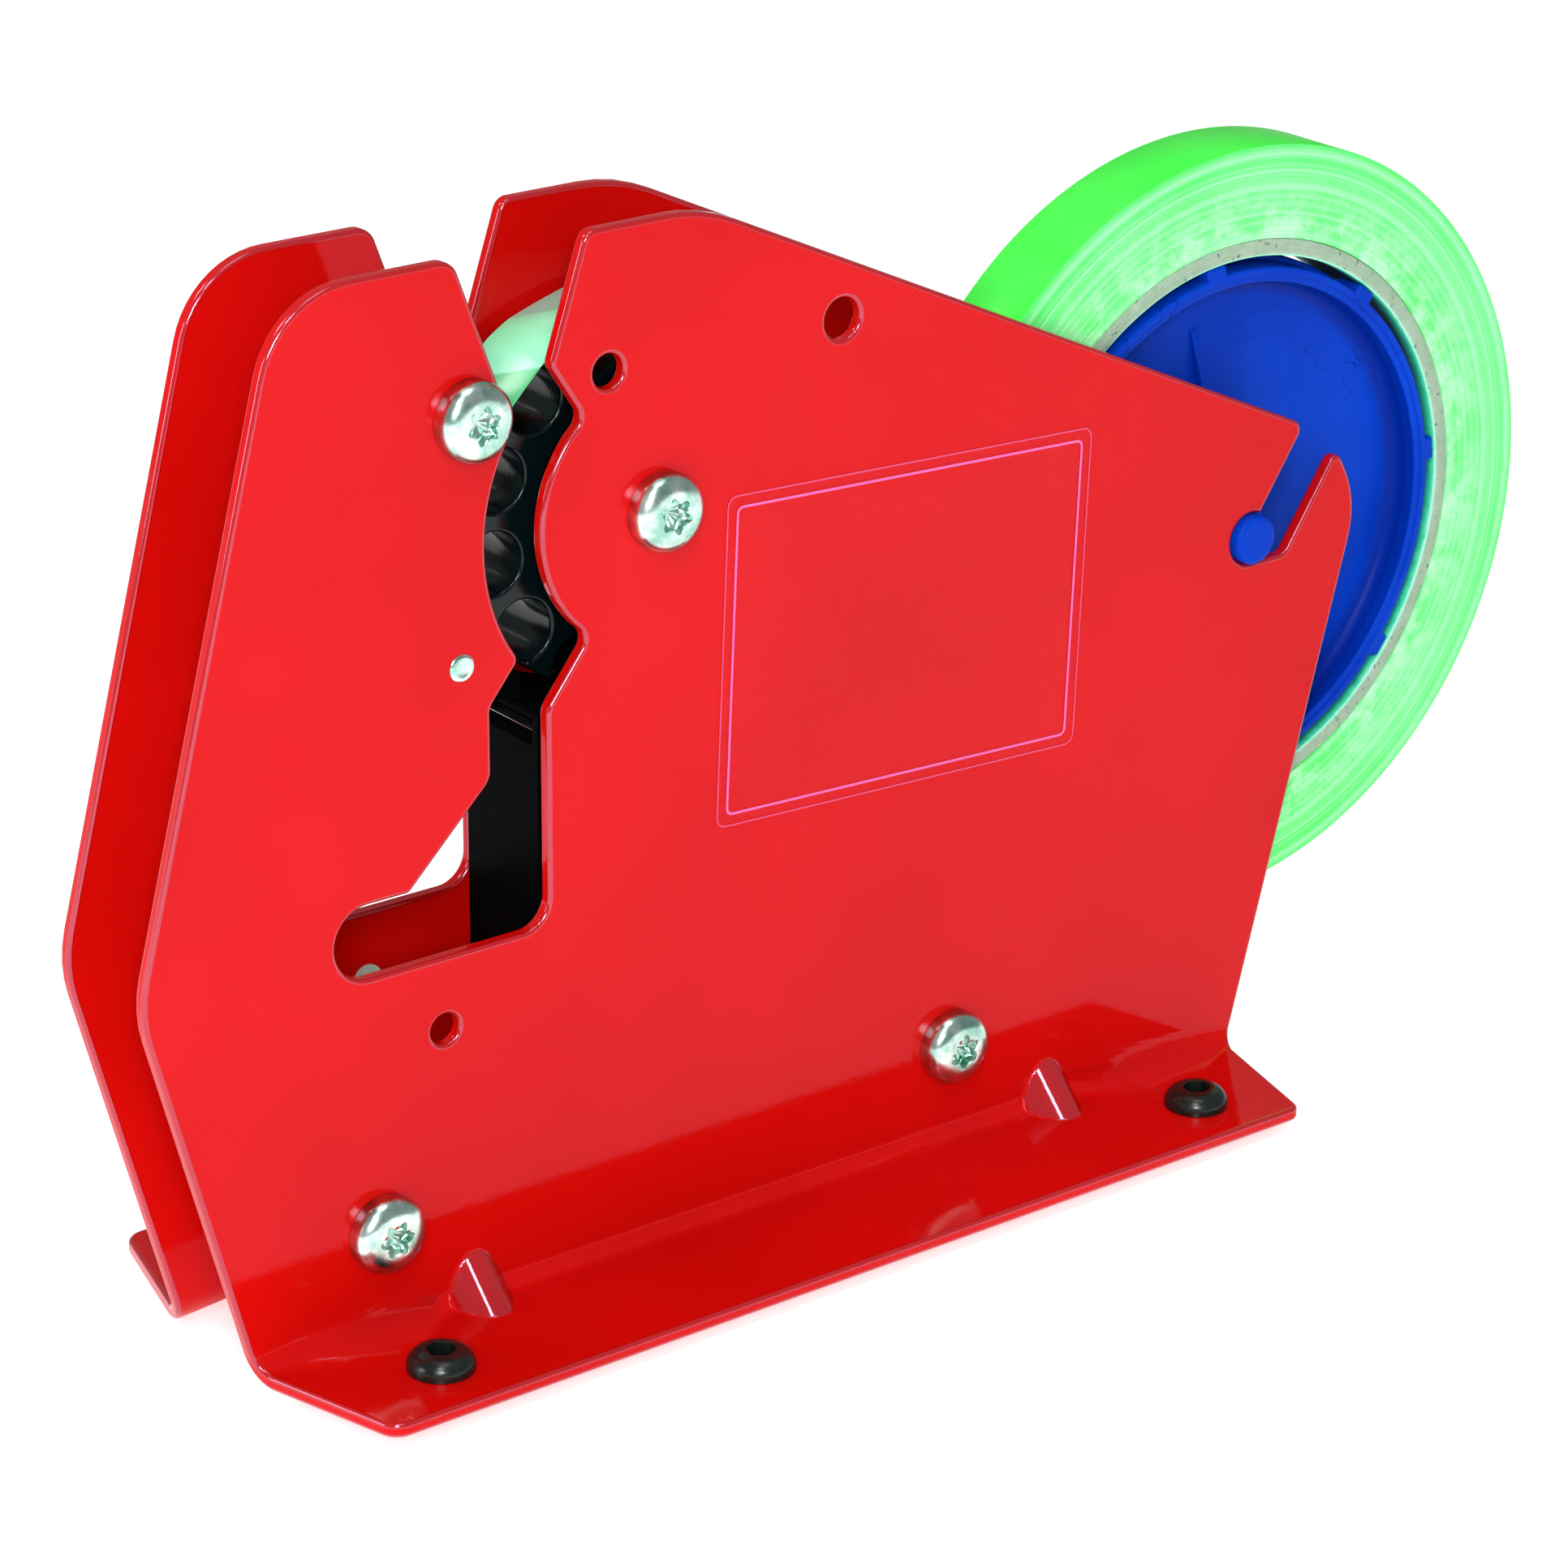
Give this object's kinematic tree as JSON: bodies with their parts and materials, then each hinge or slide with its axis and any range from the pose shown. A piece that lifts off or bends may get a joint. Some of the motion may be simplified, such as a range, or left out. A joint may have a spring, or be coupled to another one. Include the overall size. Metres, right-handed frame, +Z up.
{
  "type": "bag neck sealer",
  "caption": "Bench bag neck sealer: two folded steel side plates around a star wheel, sprung arm and blade, with a lift-out tape reel at the rear.",
  "frame": {"origin": "on the floor, under the middle of the whole part, between the two side plates", "axes": "+X from the throat to the tape reel, +Y from the near plate to the far plate, +Z up"},
  "size_m": [0.2308, 0.064, 0.1421],
  "materials": {
    "red_paint": "glossy powder coat",
    "zinc_steel": "bright zinc plate",
    "black_steel": "black oxide",
    "spring_steel": "drawn wire",
    "blade_steel": "ground and polished",
    "gloss_black": "moulded, glossy",
    "matte_black": "moulded, satin",
    "blue_plastic": "moulded, satin",
    "core_card": "wound card",
    "green_tape": "wound plastic film",
    "black_rubber": "moulded, matt",
    "clear_label": "thin clear film over the paint"
  },
  "bodies": {
    "frame": {"side_plate_near": "red_paint", "side_plate_far": "red_paint", "side_screws_near": "zinc_steel", "side_screws_far": "zinc_steel", "spacer_top_front": "zinc_steel", "spacer_bottom_front": "zinc_steel", "spacer_bottom_rear": "zinc_steel", "wheel_axle": "zinc_steel", "arm_pivot_pin": "zinc_steel", "arm_spring": "spring_steel", "blade_holder": "matte_black", "blade": "blade_steel", "blade_screws": "zinc_steel", "locating_pin": "zinc_steel", "tape_strip": "green_tape", "foot_screws": "black_steel", "rubber_feet": "black_rubber", "label_film": "clear_label"},
    "wheel": {"star_wheel": "gloss_black"},
    "arm": {"pressure_arm": "matte_black"},
    "reel": {"reel_hub_near": "blue_plastic", "reel_hub_far": "blue_plastic", "roll_core": "core_card", "tape_roll": "green_tape"}
  },
  "joints": [
    {"name": "reel_spin", "type": "hinge", "parent": "frame", "child": "reel", "pos_m": [0.0614, 0, 0.08], "axis": [0, 1, 0], "continuous": true},
    {"name": "wheel_spin", "type": "hinge", "parent": "frame", "child": "wheel", "pos_m": [-0.039, 0, 0.1047], "axis": [0, 1, 0], "continuous": true},
    {"name": "arm_swing", "type": "hinge", "parent": "frame", "child": "arm", "pos_m": [-0.069, 0, 0.0904], "axis": [0, 1, 0], "range_deg": [0, 45], "stiffness_Nm_per_rad": 0.05, "springref_deg": -17.19, "deforming": ["arm_spring"]}
  ],
  "couplings": [
    {"joint": "wheel_spin", "follows": "reel_spin", "ratio": -2.12}
  ]
}
